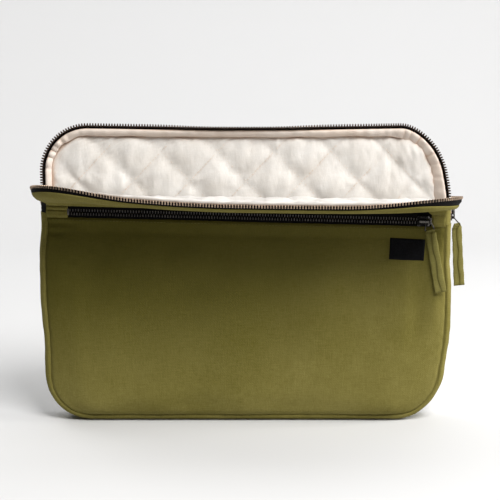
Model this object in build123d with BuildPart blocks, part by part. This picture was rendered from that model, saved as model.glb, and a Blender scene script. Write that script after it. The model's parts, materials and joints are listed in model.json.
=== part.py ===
from build123d import *
import math
import os

# A padded laptop sleeve that stands on its lower edge with its mouth open. Millimetres.
# +X is to the right, +Y to the back and +Z up. The origin is the middle of the flat base.
# The front's upper part folds forward as a flap, on a crease just above the pocket zip.

# ---- the sleeve as a whole
WIDTH = 390.0
HEIGHT = 286.0
DEPTH = 32.0
BASE_RADIUS = 45.0
TOP_RADIUS = 45.0
SEAM_INSET = 6.0  # a panel's seam lies this far inside the outer edge
BASE_HALF = 11.5  # half the width of the gusset's flat middle

# ---- cloth and padding
CANVAS = 1.2
PAD = 2.8
QUILT = 1.8
POCKET_CLOTH = 0.6
POCKET_DEPTH = 3.4
GUSSET_LINING = 2.2
PAD_INSET = 8.0
LINING_INSET = 9.0

# ---- the zips, which are alike
TAPE = 0.6
CHAIN = 2.4  # thickness of the rows of teeth
ROW_GAP = 0.45  # from the middle of the chain to a row
ROW_EDGE = 3.0  # from the middle of the chain to a row's outer edge
TAPE_FLAT = 5.6  # from the middle of the chain, where a main tape starts to slope
CLOTH_GAP = 0.3  # left between cloth edges that meet at the crease

# ---- the pocket zip, and the crease above it that the flap folds on; both fall to the right
ZIP_SLANT = 1.5
ZIP_HEIGHT = 201.5
ZIP_WINDOW = 11.0
ZIP_START = -167.0  # left end of the rows of teeth
ZIP_END = 174.0
ZIP_TAPE_HALF = 181.0
ZIP_TAPE_LOW = -10.0  # edges of the tapes, from the middle of the chain
ZIP_TAPE_HIGH = 6.0
ZIP_SINK = 0.3  # the chain's face lies this far behind the panel's
CREASE_SLANT = 0.7
CREASE_HEIGHT = 211.0
OPEN_ANGLE = 84.0  # how far the flap is folded forward from shut

# ---- ends of the main zip, above the gusset's two ends
GUSSET_END_LEFT = 205.0
GUSSET_END_RIGHT = 193.5
STOP = 1.8

# ---- sliders and pulls
SLIDER_LENGTH = 12.0
SLIDER_WIDTH = 9.5
SLIDER_PLATE = 1.1
SLIDER_PLAY = 0.25
SLIDER_LIP = 3.35  # from the middle to the inside of a side lip
TAPE_SLOT = 0.65  # half the height of the slot that the tape leaves by
WEDGE_HALF = 0.28
POST_RADIUS = 0.95
POST_OFFSET = 4.0
TUNNEL = 2.05
BRIDGE_BAR = 1.1
WIRE_RADIUS = 0.55
RING_LENGTH = 8.5  # from the post to the bar that carries the tab
RING_TOP_HALF = 1.75
RING_BAR_HALF = 4.6
TAB_LENGTH = 59.0
TAB_TOP_WIDTH = 7.2
TAB_WIDTH = 10.5
TAB_THICK = 2.2
TAB_EYE = 1.35
TAB_BORE = 0.8
TAB_SHOULDER = 9.0  # how far below its eye a tab reaches its full width
POCKET_SLIDER_X = 168.0
POCKET_LEAN = 10.5  # the pocket's ring hangs this far to the right of straight down
POCKET_TAB_TILT = 5.0  # and its tab stands this far off the panel
MAIN_SLIDER_Z = 201.6
MAIN_RING_TILT = 42.0  # the main ring stands this far out from the side
MAIN_TAB_TILT = 3.0

LABEL_WIDTH = 33.0
LABEL_HEIGHT = 20.0
LABEL_THICK = 0.5
LABEL_X = 152.5
LABEL_Z = 170.3
LABEL_TURN = -2.5

# ---- worked out from the above
FRONT = -DEPTH / 2
BACK = DEPTH / 2
EDGE = WIDTH / 2
POCKET_BACK = FRONT + CANVAS + POCKET_DEPTH
FRONT_PAD = POCKET_BACK + POCKET_CLOTH
FRONT_QUILT = FRONT_PAD + PAD
BACK_PAD = BACK - CANVAS - PAD
BACK_QUILT = BACK_PAD - QUILT
RING_LEVEL = SLIDER_PLAY + SLIDER_PLATE + TUNNEL / 2  # above the chain's face


def falling_plane(height, slant):
    """A plane that faces up and falls to the right, with X along its fall."""
    fall = math.radians(slant)
    along = (math.cos(fall), 0, -math.sin(fall))
    return Plane(origin=(0, 0, height), x_dir=along, z_dir=(math.sin(fall), 0, math.cos(fall)))


ZIP_PLANE = falling_plane(ZIP_HEIGHT, ZIP_SLANT)
ZIP_FACE = Plane(origin=(0, FRONT, ZIP_HEIGHT), x_dir=ZIP_PLANE.x_dir, z_dir=(0, -1, 0))
CREASE_PLANE = falling_plane(CREASE_HEIGHT, CREASE_SLANT)
CREASE = Axis((0, FRONT + CANVAS / 2, CREASE_HEIGHT), CREASE_PLANE.x_dir)
BELOW_CREASE = CREASE_PLANE.offset(-CLOTH_GAP)
ABOVE_CREASE = CREASE_PLANE.offset(CLOTH_GAP)

os.makedirs("parts", exist_ok=True)


def save(piece, name):
    """Label a finished piece and write it as one node."""
    piece.label = name
    export_step(piece, f"parts/{name}.step")
    print(f"{name:28s} {piece.volume:10.1f} mm3  solids {len(piece.solids())}")


def above(piece, plane):
    """The part of a piece that is above a plane."""
    with BuildPart() as kept:
        add(piece)
        split(bisect_by=plane, keep=Keep.TOP)
    return kept.part


def below(piece, plane):
    """The part of a piece that is below a plane."""
    with BuildPart() as kept:
        add(piece)
        split(bisect_by=plane, keep=Keep.BOTTOM)
    return kept.part


def sheet(inset, front_y, thickness):
    """A flat layer of the sleeve's outline, drawn in by inset, whose front is at front_y."""
    with BuildPart() as layer:
        with BuildSketch(Plane.XZ.offset(-front_y)) as outline:
            with Locations((0, HEIGHT / 2)):
                Rectangle(WIDTH - 2 * inset, HEIGHT - 2 * inset)
            fillet(outline.vertices().group_by(Axis.Y)[0], BASE_RADIUS - inset)
            fillet(outline.vertices().group_by(Axis.Y)[-1], TOP_RADIUS - inset)
        extrude(amount=-thickness)
    return layer.part


def upper_band(section, left_end, right_end):
    """A band swept up the left edge, over the top and down the right edge.

    The section's points are (out from the outer edge, +Y)."""
    corner = EDGE - TOP_RADIUS
    with BuildPart() as band:
        with BuildLine(Plane.XZ) as route:
            Line((-EDGE, left_end), (-EDGE, HEIGHT - TOP_RADIUS))
            CenterArc((-corner, HEIGHT - TOP_RADIUS), TOP_RADIUS, 180, -90)
            Line((-corner, HEIGHT), (corner, HEIGHT))
            CenterArc((corner, HEIGHT - TOP_RADIUS), TOP_RADIUS, 90, -90)
            Line((EDGE, HEIGHT - TOP_RADIUS), (EDGE, right_end))
        start = Plane(origin=(-EDGE, 0, left_end), x_dir=(-1, 0, 0), z_dir=(0, 0, 1))
        with BuildSketch(start):
            with BuildLine():
                Polyline([(out, -y) for out, y in section], close=True)
            make_face()
        sweep(path=route.line)
    return band.part


def lower_band(section, left_end, right_end):
    """A band swept down the left edge, along the base and up the right edge."""
    corner = EDGE - BASE_RADIUS
    with BuildPart() as band:
        with BuildLine(Plane.XZ) as route:
            Line((-EDGE, left_end), (-EDGE, BASE_RADIUS))
            CenterArc((-corner, BASE_RADIUS), BASE_RADIUS, 180, 90)
            Line((-corner, 0), (corner, 0))
            CenterArc((corner, BASE_RADIUS), BASE_RADIUS, 270, 90)
            Line((EDGE, BASE_RADIUS), (EDGE, right_end))
        start = Plane(origin=(-EDGE, 0, left_end), x_dir=(-1, 0, 0), z_dir=(0, 0, -1))
        with BuildSketch(start):
            with BuildLine():
                Polyline(section, close=True)
            make_face()
        sweep(path=route.line)
    return band.part


def turned_to_front(section):
    """The same section on the front half, in mirror image."""
    return [(out, -y) for out, y in reversed(section)]


def block(plane, low, high):
    """A box between two corners in a plane's own axes."""
    size = [b - a for a, b in zip(low, high)]
    with BuildPart() as solid:
        with BuildSketch(plane.offset(low[2])):
            with Locations(((low[0] + high[0]) / 2, (low[1] + high[1]) / 2)):
                Rectangle(size[0], size[1])
        extrude(amount=size[2])
    return solid.part


def grouped(pieces):
    """Several separate solids as one node."""
    with BuildPart() as group:
        for piece in pieces:
            add(piece)
    return group.part


# ---- sections of the bands, as (out from the outer edge, y)
TAPE_OUT = -(CHAIN - TAPE) / 2
TAPE_IN = TAPE_OUT - TAPE
TAPE_SECTION = [
    (TAPE_OUT, ROW_EDGE),
    (TAPE_OUT, TAPE_FLAT),
    (-SEAM_INSET, BACK - 0.3),
    (-SEAM_INSET, BACK - 1.0),
    (TAPE_IN, TAPE_FLAT + TAPE / 2),
    (TAPE_IN, ROW_EDGE),
]
ROW_SECTION = [(0, ROW_GAP), (0, ROW_EDGE), (-CHAIN, ROW_EDGE), (-CHAIN, ROW_GAP)]
BINDING_SECTION = [(-2.2, 6.2), (-6.8, BACK - 1.5), (-7.8, BACK - 1.5), (-3.8, 6.2)]
GUSSET_SECTION = [
    (-SEAM_INSET, FRONT),
    (0, -BASE_HALF),
    (0, BASE_HALF),
    (-SEAM_INSET, BACK),
    (-SEAM_INSET, BACK - CANVAS),
    (-CANVAS, BASE_HALF - CANVAS / 2),
    (-CANVAS, CANVAS / 2 - BASE_HALF),
    (-SEAM_INSET, FRONT + CANVAS),
]
GUSSET_LINING_SECTION = [
    (-CANVAS, -BASE_HALF + 2.5),
    (-CANVAS, BASE_HALF - 2.5),
    (-CANVAS - GUSSET_LINING, BASE_HALF - 2.5),
    (-CANVAS - GUSSET_LINING, -BASE_HALF + 2.5),
]


def make_back():
    """The back: canvas, foam and quilted lining."""
    save(sheet(SEAM_INSET, BACK - CANVAS, CANVAS), "back_panel")
    save(sheet(PAD_INSET, BACK_PAD, PAD), "back_padding")
    save(sheet(LINING_INSET, BACK_QUILT, QUILT), "back_lining")


def make_front():
    """The front below the crease: canvas under and over the pocket zip, and what lies behind."""
    canvas = sheet(SEAM_INSET, FRONT, CANVAS)
    save(below(canvas, ZIP_PLANE.offset(-ZIP_WINDOW / 2)), "front_panel")
    strip_top = CREASE_PLANE.offset(-CANVAS / 2 - CLOTH_GAP)
    save(below(above(canvas, ZIP_PLANE.offset(ZIP_WINDOW / 2)), strip_top), "front_upper_strip")
    save(below(sheet(SEAM_INSET + 1, POCKET_BACK, POCKET_CLOTH), BELOW_CREASE), "pocket_lining")
    save(below(sheet(PAD_INSET, FRONT_PAD, PAD), BELOW_CREASE), "front_padding")
    save(below(sheet(LINING_INSET, FRONT_QUILT, QUILT), BELOW_CREASE), "front_lining")


def make_gusset():
    """The band round the sides and base, and the lining inside it."""
    ends = (GUSSET_END_LEFT, GUSSET_END_RIGHT)
    save(lower_band(GUSSET_SECTION, *ends), "gusset")
    save(lower_band(GUSSET_LINING_SECTION, *ends), "gusset_lining")


def make_flap():
    """The front above the crease, built shut and then folded forward."""
    bead_end = Plane(origin=CREASE.position, x_dir=(0, 1, 0), z_dir=CREASE.direction)
    with BuildPart() as canvas:
        add(above(sheet(SEAM_INSET, FRONT, CANVAS), CREASE_PLANE))
        # The folded edge of the canvas is a round bead on the crease's axis.
        with BuildSketch(bead_end):
            Circle(CANVAS / 2)
        extrude(amount=EDGE - PAD_INSET, both=True)
    binding = upper_band(turned_to_front(BINDING_SECTION), GUSSET_END_LEFT, GUSSET_END_RIGHT)
    folded = {
        "flap_panel": canvas.part,
        "flap_padding": above(sheet(PAD_INSET, FRONT + CANVAS, PAD), ABOVE_CREASE),
        "flap_lining": above(sheet(LINING_INSET, FRONT + CANVAS + PAD, QUILT), ABOVE_CREASE),
        "flap_binding": above(binding, ABOVE_CREASE),
        "main_zip_tape_front": above(front_tape(), ABOVE_CREASE),
        "main_zip_teeth_front": above(front_row(), ABOVE_CREASE),
    }
    for name, piece in folded.items():
        save(piece.rotate(CREASE, OPEN_ANGLE), name)


def front_tape():
    """The front half's tape over its whole length, shut."""
    return upper_band(turned_to_front(TAPE_SECTION), GUSSET_END_LEFT, GUSSET_END_RIGHT)


def front_row():
    """The front half's row of teeth over its whole length, shut."""
    ends = (GUSSET_END_LEFT + 2 * STOP, GUSSET_END_RIGHT + 1.2 * STOP)
    return upper_band(turned_to_front(ROW_SECTION), *ends)


def make_main_zip():
    """The main zip's rear half, and the two ends of its front half below the crease."""
    ends = (GUSSET_END_LEFT, GUSSET_END_RIGHT)
    row_ends = (GUSSET_END_LEFT + 2 * STOP, GUSSET_END_RIGHT + 1.2 * STOP)
    save(upper_band(TAPE_SECTION, *ends), "main_zip_tape_rear")
    save(upper_band(ROW_SECTION, *row_ends), "main_zip_teeth_rear")
    save(upper_band(BINDING_SECTION, *ends), "rear_binding")
    save(below(front_tape(), BELOW_CREASE), "main_zip_tape_front_ends")
    save(below(front_row(), BELOW_CREASE), "main_zip_teeth_front_ends")

    right = Plane(origin=(EDGE, 0, GUSSET_END_RIGHT), x_dir=(0, 1, 0), z_dir=(0, 0, 1))
    reach = ROW_EDGE - 0.1
    save(block(right, (-reach, -0.4, 0.1), (reach, CHAIN + 0.2, STOP)), "main_zip_bottom_stop")
    left = Plane(origin=(-EDGE, 0, GUSSET_END_LEFT), x_dir=(0, -1, 0), z_dir=(0, 0, 1))
    stops = [
        block(left, (low, -0.4, STOP), (low + reach - ROW_GAP, CHAIN + 0.2, 1.9 * STOP))
        for low in (ROW_GAP, -reach)
    ]
    save(grouped(stops), "main_zip_top_stops")


def make_pocket_zip():
    """The pocket's zip, sewn in a window of the front, with a canvas tab over each end."""
    chain_high = -ZIP_SINK
    chain_low = chain_high - CHAIN
    tape_low = chain_high - CHAIN / 2 - TAPE / 2
    tapes = {
        "pocket_zip_tape_upper": (ROW_EDGE, ZIP_TAPE_HIGH),
        "pocket_zip_tape_lower": (ZIP_TAPE_LOW, -ROW_EDGE),
    }
    for name, (low, high) in tapes.items():
        ends = (-ZIP_TAPE_HALF, ZIP_TAPE_HALF)
        save(block(ZIP_FACE, (ends[0], low, tape_low), (ends[1], high, tape_low + TAPE)), name)
    rows = {
        "pocket_zip_teeth_upper": (ROW_GAP, ROW_EDGE),
        "pocket_zip_teeth_lower": (-ROW_EDGE, -ROW_GAP),
    }
    for name, (low, high) in rows.items():
        save(block(ZIP_FACE, (ZIP_START, low, chain_low), (ZIP_END, high, chain_high)), name)

    # One stop closes the left end; a small one on each row ends the right.
    left = ZIP_START - 0.1
    reach = ROW_EDGE - 0.1
    low_corner = (left - STOP, -reach, chain_low - 0.2)
    save(block(ZIP_FACE, low_corner, (left, reach, chain_high + 0.2)), "pocket_zip_bottom_stop")
    right = POCKET_SLIDER_X + SLIDER_LENGTH / 2 + 0.3
    stops = [
        block(ZIP_FACE, (right, low, chain_low + 0.2), (right + STOP, high, chain_high - 0.2))
        for low, high in ((ROW_GAP, reach), (-reach, -ROW_GAP))
    ]
    save(grouped(stops), "pocket_zip_top_stops")

    half = ZIP_WINDOW / 2 - 0.1
    seam = EDGE - SEAM_INSET - 0.5
    spans = {
        "pocket_zip_end_tab_left": (-seam, left - STOP - 0.1),
        "pocket_zip_end_tab_right": (right + STOP + 0.1, seam),
    }
    for name, (low, high) in spans.items():
        save(block(ZIP_FACE, (low, -half, -CANVAS), (high, half, 0)), name)


def slider(frame):
    """A zip slider that travels along the frame's X, with the chain's face at Z zero."""
    top = SLIDER_PLAY
    bottom = -CHAIN - SLIDER_PLAY
    tape = -CHAIN / 2
    lip_width = SLIDER_WIDTH / 2 - SLIDER_LIP
    nose = SLIDER_LENGTH / 2
    with BuildPart() as body:
        # The two plates, rounder at the nose than at the tail.
        for low in (top, bottom - SLIDER_PLATE):
            with BuildSketch(frame.offset(low)) as plate:
                Rectangle(SLIDER_LENGTH, SLIDER_WIDTH)
                fillet(plate.vertices().group_by(Axis.X)[0], 1.0)
                fillet(plate.vertices().group_by(Axis.X)[-1], 2.6)
            extrude(amount=SLIDER_PLATE)
        # Side lips that close round the chain and leave a slot for each tape.
        for low, high in ((tape + TAPE_SLOT, top), (bottom, tape - TAPE_SLOT)):
            with BuildSketch(frame.offset(low)):
                with Locations((-1.2, SLIDER_LIP + lip_width / 2), (-1.2, -SLIDER_LIP - lip_width / 2)):
                    Rectangle(SLIDER_LENGTH - 4.4, lip_width)
            extrude(amount=high - low)
        # The wedge between the rows holds the plates together.
        with BuildSketch(frame.offset(bottom)):
            with Locations((nose - 2.0, 0)):
                Rectangle(2.4, 2 * WEDGE_HALF)
        extrude(amount=top - bottom)
        # The bridge: two posts and the bar over them.
        post_low = top + SLIDER_PLATE
        with BuildSketch(frame.offset(post_low)):
            with Locations((-POST_OFFSET, 0), (POST_OFFSET, 0)):
                Circle(POST_RADIUS)
        extrude(amount=TUNNEL)
        with BuildSketch(frame.offset(post_low + TUNNEL)):
            SlotOverall(2 * (POST_OFFSET + POST_RADIUS), 2 * POST_RADIUS)
        extrude(amount=BRIDGE_BAR)
    return body.part


def pull_ring(frame):
    """A wire ring round a post at the frame's origin. It hangs along the frame's -Y."""
    with BuildPart() as ring:
        with BuildLine(frame) as route:
            corners = [
                (-RING_TOP_HALF, RING_TOP_HALF),
                (-RING_BAR_HALF, -RING_LENGTH),
                (RING_BAR_HALF, -RING_LENGTH),
                (RING_TOP_HALF, RING_TOP_HALF),
            ]
            FilletPolyline(corners, radius=1.2, close=True)
        wire = route.wires()[0]
        with BuildSketch(Plane(origin=wire @ 0, z_dir=wire % 0)):
            Circle(WIRE_RADIUS)
        sweep(path=wire)
    return ring.part


def pull_tab(frame, turned):
    """A folded canvas tab, with its eye at the frame's origin, hanging along -Y.

    Its face is the frame's XY, or YZ where the cloth is turned a quarter below its eye."""
    side = Plane(origin=frame.origin, x_dir=frame.y_dir, z_dir=frame.x_dir)
    face_normal = frame.x_dir if turned else frame.z_dir
    face = Plane(origin=frame.origin, x_dir=frame.y_dir, z_dir=face_normal)
    half_top = TAB_TOP_WIDTH / 2
    half = TAB_WIDTH / 2
    edge = [(0, half_top), (-TAB_SHOULDER, half), (-TAB_LENGTH, half)]
    other_edge = [(up, -out) for up, out in reversed(edge)]
    with BuildPart() as tab:
        with BuildSketch(face):
            with BuildLine():
                Polyline(edge + other_edge, close=True)
            make_face()
        extrude(amount=TAB_THICK / 2, both=True)
        with BuildSketch(side):
            Circle(TAB_EYE)
        extrude(amount=half_top, both=True)
        with BuildSketch(side):
            Circle(TAB_BORE)
        extrude(amount=TAB_WIDTH, both=True, mode=Mode.SUBTRACT)
    return tab.part


def make_pull(name, ring_frame, tab_tilt, turned):
    """A ring whose loop is round the post at the frame's origin, and the tab on its bar."""
    save(pull_ring(ring_frame), f"{name}_pull_ring")
    eye = ring_frame.origin - ring_frame.y_dir * RING_LENGTH
    bar = Axis(eye, ring_frame.x_dir)
    tab_frame = Plane(origin=eye, x_dir=ring_frame.x_dir, z_dir=ring_frame.z_dir)
    save(pull_tab(tab_frame, turned).rotate(bar, tab_tilt), f"{name}_pull_tab")
    print(f"{name} ring's post at {tuple(ring_frame.origin)}")
    print(f"{name} ring's bar at {tuple(eye)} along {tuple(bar.direction)}")


def make_pocket_slider():
    """The pocket's slider parked at the right end, with its ring on the right-hand post."""
    chain_face = ZIP_FACE.offset(-ZIP_SINK)
    centre = chain_face.from_local_coords((POCKET_SLIDER_X, 0, 0))
    save(slider(Plane(origin=centre, x_dir=chain_face.x_dir, z_dir=(0, -1, 0))), "pocket_slider")
    post = chain_face.from_local_coords((POCKET_SLIDER_X + POST_OFFSET, 0, RING_LEVEL))
    lean = math.radians(POCKET_LEAN)
    hung = Plane(origin=post, x_dir=(math.cos(lean), 0, math.sin(lean)), z_dir=(0, -1, 0))
    make_pull("pocket", hung, -POCKET_TAB_TILT, turned=False)


def make_main_slider():
    """The main slider at the foot of the right side, with its ring on the lower post."""
    frame = Plane(origin=(EDGE, 0, MAIN_SLIDER_Z), x_dir=(0, 0, 1), z_dir=(1, 0, 0))
    save(slider(frame), "main_slider")
    # The loop's top lies in the tunnel above the post, and the ring is tipped out about it.
    top = frame.from_local_coords((RING_TOP_HALF - POST_OFFSET, 0, RING_LEVEL))
    tilt = math.radians(MAIN_RING_TILT)
    hang = Vector(math.sin(tilt), 0, -math.cos(tilt))
    tipped = Plane(
        origin=top + hang * RING_TOP_HALF,
        x_dir=(0, 1, 0),
        z_dir=(math.cos(tilt), 0, math.sin(tilt)),
    )
    print(f"main ring turns about Y at {tuple(top)}")
    make_pull("main", tipped, MAIN_RING_TILT - MAIN_TAB_TILT, turned=True)


def make_label():
    """A plain woven label sewn below the pocket zip."""
    spot = Plane(origin=(LABEL_X, FRONT, LABEL_Z), x_dir=(1, 0, 0), z_dir=(0, -1, 0))
    with BuildPart() as label:
        with BuildSketch(spot):
            Rectangle(LABEL_WIDTH, LABEL_HEIGHT, rotation=LABEL_TURN)
        extrude(amount=LABEL_THICK)
    save(label.part, "woven_label")


make_back()
make_front()
make_gusset()
make_main_zip()
make_pocket_zip()
make_flap()
make_pocket_slider()
make_main_slider()
make_label()
print(f"crease at {tuple(CREASE.position)} along {tuple(CREASE.direction)}")
print(f"pocket zip runs along {tuple(ZIP_PLANE.x_dir)}")
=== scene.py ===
import itertools
import json
import math

import bmesh
import bpy
import numpy as np
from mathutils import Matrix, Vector
from mathutils.bvhtree import BVHTree


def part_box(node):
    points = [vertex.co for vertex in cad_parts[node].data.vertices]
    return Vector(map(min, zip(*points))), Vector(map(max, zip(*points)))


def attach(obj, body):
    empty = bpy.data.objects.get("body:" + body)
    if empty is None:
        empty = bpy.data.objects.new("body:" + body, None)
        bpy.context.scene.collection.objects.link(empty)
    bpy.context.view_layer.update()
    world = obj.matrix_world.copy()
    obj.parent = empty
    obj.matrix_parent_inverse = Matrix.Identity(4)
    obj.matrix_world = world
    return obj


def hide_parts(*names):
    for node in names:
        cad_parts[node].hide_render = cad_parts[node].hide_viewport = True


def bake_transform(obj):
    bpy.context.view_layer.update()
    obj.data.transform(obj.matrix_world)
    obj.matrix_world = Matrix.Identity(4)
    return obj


# A padded canvas laptop sleeve with its mouth open. The shapes are worked out in millimetres,
# on the shut sleeve, and the flap's pieces are then folded forward. +X right, +Y back, +Z up.

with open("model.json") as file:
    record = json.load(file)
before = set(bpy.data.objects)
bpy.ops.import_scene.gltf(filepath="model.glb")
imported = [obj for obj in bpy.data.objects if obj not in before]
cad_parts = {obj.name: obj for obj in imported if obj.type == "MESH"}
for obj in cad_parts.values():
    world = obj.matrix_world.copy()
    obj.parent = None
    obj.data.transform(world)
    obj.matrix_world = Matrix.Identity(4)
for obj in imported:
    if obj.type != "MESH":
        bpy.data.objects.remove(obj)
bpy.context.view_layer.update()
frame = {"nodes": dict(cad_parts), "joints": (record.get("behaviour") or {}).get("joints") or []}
MM = 0.001


def box_mm(node):
    """A CAD node's lowest and highest corners in millimetres."""
    low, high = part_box(node)
    return np.array(low) / MM, np.array(high) / MM


# ---- sizes read from the frame
EDGE = box_mm("gusset")[1][0]
HEIGHT = box_mm("main_zip_teeth_rear")[1][2]
FRONT = box_mm("front_panel")[0][1]
BACK = box_mm("back_panel")[1][1]
JOINTS = {joint["name"]: joint for joint in frame["joints"]}
CREASE_AXIS = JOINTS["flap_fold"]["axis"]
CREASE_SLOPE = CREASE_AXIS[2] / CREASE_AXIS[0]
CREASE_HEIGHT = JOINTS["flap_fold"]["pos_m"][2] / MM
ZIP_AXIS = JOINTS["pocket_zip_slide"]["axis"]
ZIP_SLOPE = ZIP_AXIS[2] / ZIP_AXIS[0]
ZIP_TILT = math.atan(ZIP_SLOPE)
SEAM = -box_mm("front_panel")[0][0]  # half the width between the side seams

# ---- sizes that the CAD model shares
TOP_RADIUS = 45.0
BASE_RADIUS = 45.0
SEAM_INSET = EDGE - SEAM
CANVAS = 1.2
ZIP_HEIGHT = 201.5
ZIP_WINDOW = 11.0
CHAIN = 2.4
LEFT_END = 205.0  # ends of the main zip, above the gusset's two ends
RIGHT_END = 193.5
PAD = 2.8
QUILT = 1.8

# ---- how the soft parts lie
BEND = 6.0  # half the length of cloth that turns at the crease
FLAP_TURN = 86.5  # how far the flap's middle is folded forward from shut
LEFT_LIFT = 12.0  # its corners are folded less
RIGHT_LIFT = 5.0
FLARE = 3.5  # its corners also stand out to the sides
REAR_SAG = 1.8  # the mouth's rear edge dips in its middle
RIGHT_LEAN = 6.8  # and its upper right corner leans in and drops
RIGHT_DROP = 2.8
RIGHT_SLUMP = 6.5  # as does the sleeve's lower right corner
SIDE_SWELL = 2.6  # the sides stand out below the mouth
LOOSE = 0.15  # between a pad and the cloth over it
QUILT_SLOPE = math.radians(47)
QUILT_PITCH = 54.0 * math.sin(QUILT_SLOPE)  # from a diamond's width to the gap between lines
TOOTH_PITCH = 2.6
TOOTH_REACH = 2.55  # how far the main zip's rows stand out from their tapes
POCKET_TAPE_END = 181.0  # the pocket zip's tapes reach this far to each side
POCKET_ROW = (-166.2, 173.0)  # and its rows of teeth lie between these


# ---- small sums


def ease(value, low, high):
    """0 before low, 1 after high and smooth between them."""
    t = np.clip((value - low) / (high - low), 0.0, 1.0)
    return t * t * (3 - 2 * t)


def mix(a, b, share):
    return a + (b - a) * share


def bell(value, middle, width):
    """1 at middle, falling to 0 on both sides of it."""
    return np.exp(-(((value - middle) / width) ** 2))


def unit(vectors):
    return vectors / np.linalg.norm(vectors, axis=-1, keepdims=True)


def points_at(*parts):
    """Points from their coordinates."""
    return np.stack(np.broadcast_arrays(*parts), axis=-1).astype(float)


def waves(x, z, length, seed):
    """A smooth uneven field between about -1 and 1, with features about as long as length."""
    turns = np.random.default_rng(seed).uniform(0, 2 * math.pi, (6, 2))
    total = 0
    for heading, phase in turns:
        along = (x * math.cos(heading) + z * math.sin(heading)) / length
        total = total + np.sin(2 * math.pi * along * (0.7 + 0.1 * heading) + phase)
    return total / 3.2


def midpoint_sum(values):
    """The sum of the means of each two neighbours along the last axis."""
    return (values[..., 1:] + values[..., :-1]).sum(axis=-1) / 2


def crease_height(x):
    return CREASE_HEIGHT + CREASE_SLOPE * x


def zip_height(x):
    return ZIP_HEIGHT + ZIP_SLOPE * x


def half_width(z, inset):
    """Half the sleeve's outline at a height, drawn in by inset."""
    top, base = TOP_RADIUS - inset, BASE_RADIUS - inset
    over = np.clip(z - (HEIGHT - TOP_RADIUS), 0, top)
    under = np.clip(BASE_RADIUS - z, 0, base)
    full = EDGE - inset
    cut = top - np.sqrt(top**2 - over**2) + base - np.sqrt(base**2 - under**2)
    return full - cut


# ---- bending the shut shapes


def flap_angle(x):
    """How far the flap is folded forward at x, in radians."""
    share = np.abs(x) / EDGE
    lift = np.where(x < 0, LEFT_LIFT * share**2, RIGHT_LIFT * share**4.0)
    return np.radians(FLAP_TURN - lift)


def fold(points):
    """Folds what is above the crease forward, as a soft bend."""
    x, y, z = points[..., 0], points[..., 1], points[..., 2]
    above = z - crease_height(x)
    depth = y - FRONT
    angle = flap_angle(x)
    within = np.clip(above, -BEND, BEND)
    steps = np.linspace(0, 1, 25)
    arc = -BEND + (within + BEND)[..., None] * steps
    turn = angle[..., None] * ease(arc, -BEND, BEND)
    stretch = (within + BEND) / (len(steps) - 1)
    forward = stretch * midpoint_sum(np.sin(turn))
    up = stretch * midpoint_sum(np.cos(turn))
    last = angle * ease(within, -BEND, BEND)
    beyond = above - within
    new_y = FRONT - forward - beyond * np.sin(last) + depth * np.cos(last)
    new_z = crease_height(x) - BEND + up + beyond * np.cos(last) + depth * np.sin(last)
    flare = np.sign(x) * FLARE * ease(np.abs(x), 135, EDGE) * ease(above, 2, 38)
    return slump(points_at(x + flare, new_y, new_z))


def slump(points):
    """Lets the sides swell below the mouth, and rounds the lower right corner."""
    x, y, z = points[..., 0], points[..., 1], points[..., 2]
    inward = RIGHT_SLUMP * ease(x, 95, 190) * (1 - ease(z, 8, 82))
    left_swell = ease(-x, 120, 190) * ease(z, 70, 125) * (1 - ease(z, 160, 190))
    right_swell = ease(x, 120, 190) * ease(z, 45, 105) * (1 - ease(z, 125, 160))
    swell = SIDE_SWELL * (0.85 * right_swell - left_swell)
    return points_at(x - inward + swell, y, z)


def unbent(points):
    return points


def sag(points):
    """Lets the mouth's rear edge dip in its middle and lean in at its upper right corner."""
    x, y, z = points[..., 0], points[..., 1], points[..., 2]
    share = np.clip(1 - (x / 165) ** 2, 0, 1) ** 1.3
    dip = REAR_SAG * share * ease(z, 150, HEIGHT)
    lean = RIGHT_LEAN * ease(x, 110, 185) * ease(z, 212, 262)
    drop = RIGHT_DROP * ease(x, 150, 190) * ease(z, 225, HEIGHT)
    return slump(points_at(x - lean, y, z - dip - drop))


# ---- meshes


def make_piece(name, points, faces, material, cloth=None, sharp=50):
    """A mesh object from millimetre points. cloth is where each point lies on the flat cloth."""
    mesh = bpy.data.meshes.new(name)
    mesh.from_pydata((np.asarray(points).reshape(-1, 3) * MM).tolist(), [], faces)
    mesh.validate()
    flat = np.asarray(points if cloth is None else cloth, float).reshape(-1, 3)
    layer = mesh.attributes.new("cloth", "FLOAT_VECTOR", "POINT")
    layer.data.foreach_set("vector", flat.astype(np.float32).ravel())
    mesh.shade_smooth()
    mesh.set_sharp_from_angle(angle=math.radians(sharp))
    mesh.materials.append(material)
    obj = bpy.data.objects.new(name, mesh)
    bpy.context.scene.collection.objects.link(obj)
    return obj


def grid_faces(rows, columns, start=0, flip=False, wrap=False):
    """Quads of a grid of points, numbered row by row."""
    faces = []
    for r in range(rows - 1):
        for c in range(columns if wrap else columns - 1):
            d = (c + 1) % columns
            quad = [r * columns + c, r * columns + d, (r + 1) * columns + d, (r + 1) * columns + c]
            if flip:
                quad.reverse()
            faces.append([start + i for i in quad])
    return faces


def rim_of(rows, columns):
    """The border of a grid of points, in order."""
    lower = list(range(columns))
    right = [r * columns + columns - 1 for r in range(1, rows)]
    upper = [(rows - 1) * columns + c for c in range(columns - 2, -1, -1)]
    left = [r * columns for r in range(rows - 2, 0, -1)]
    return lower + right + upper + left


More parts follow.
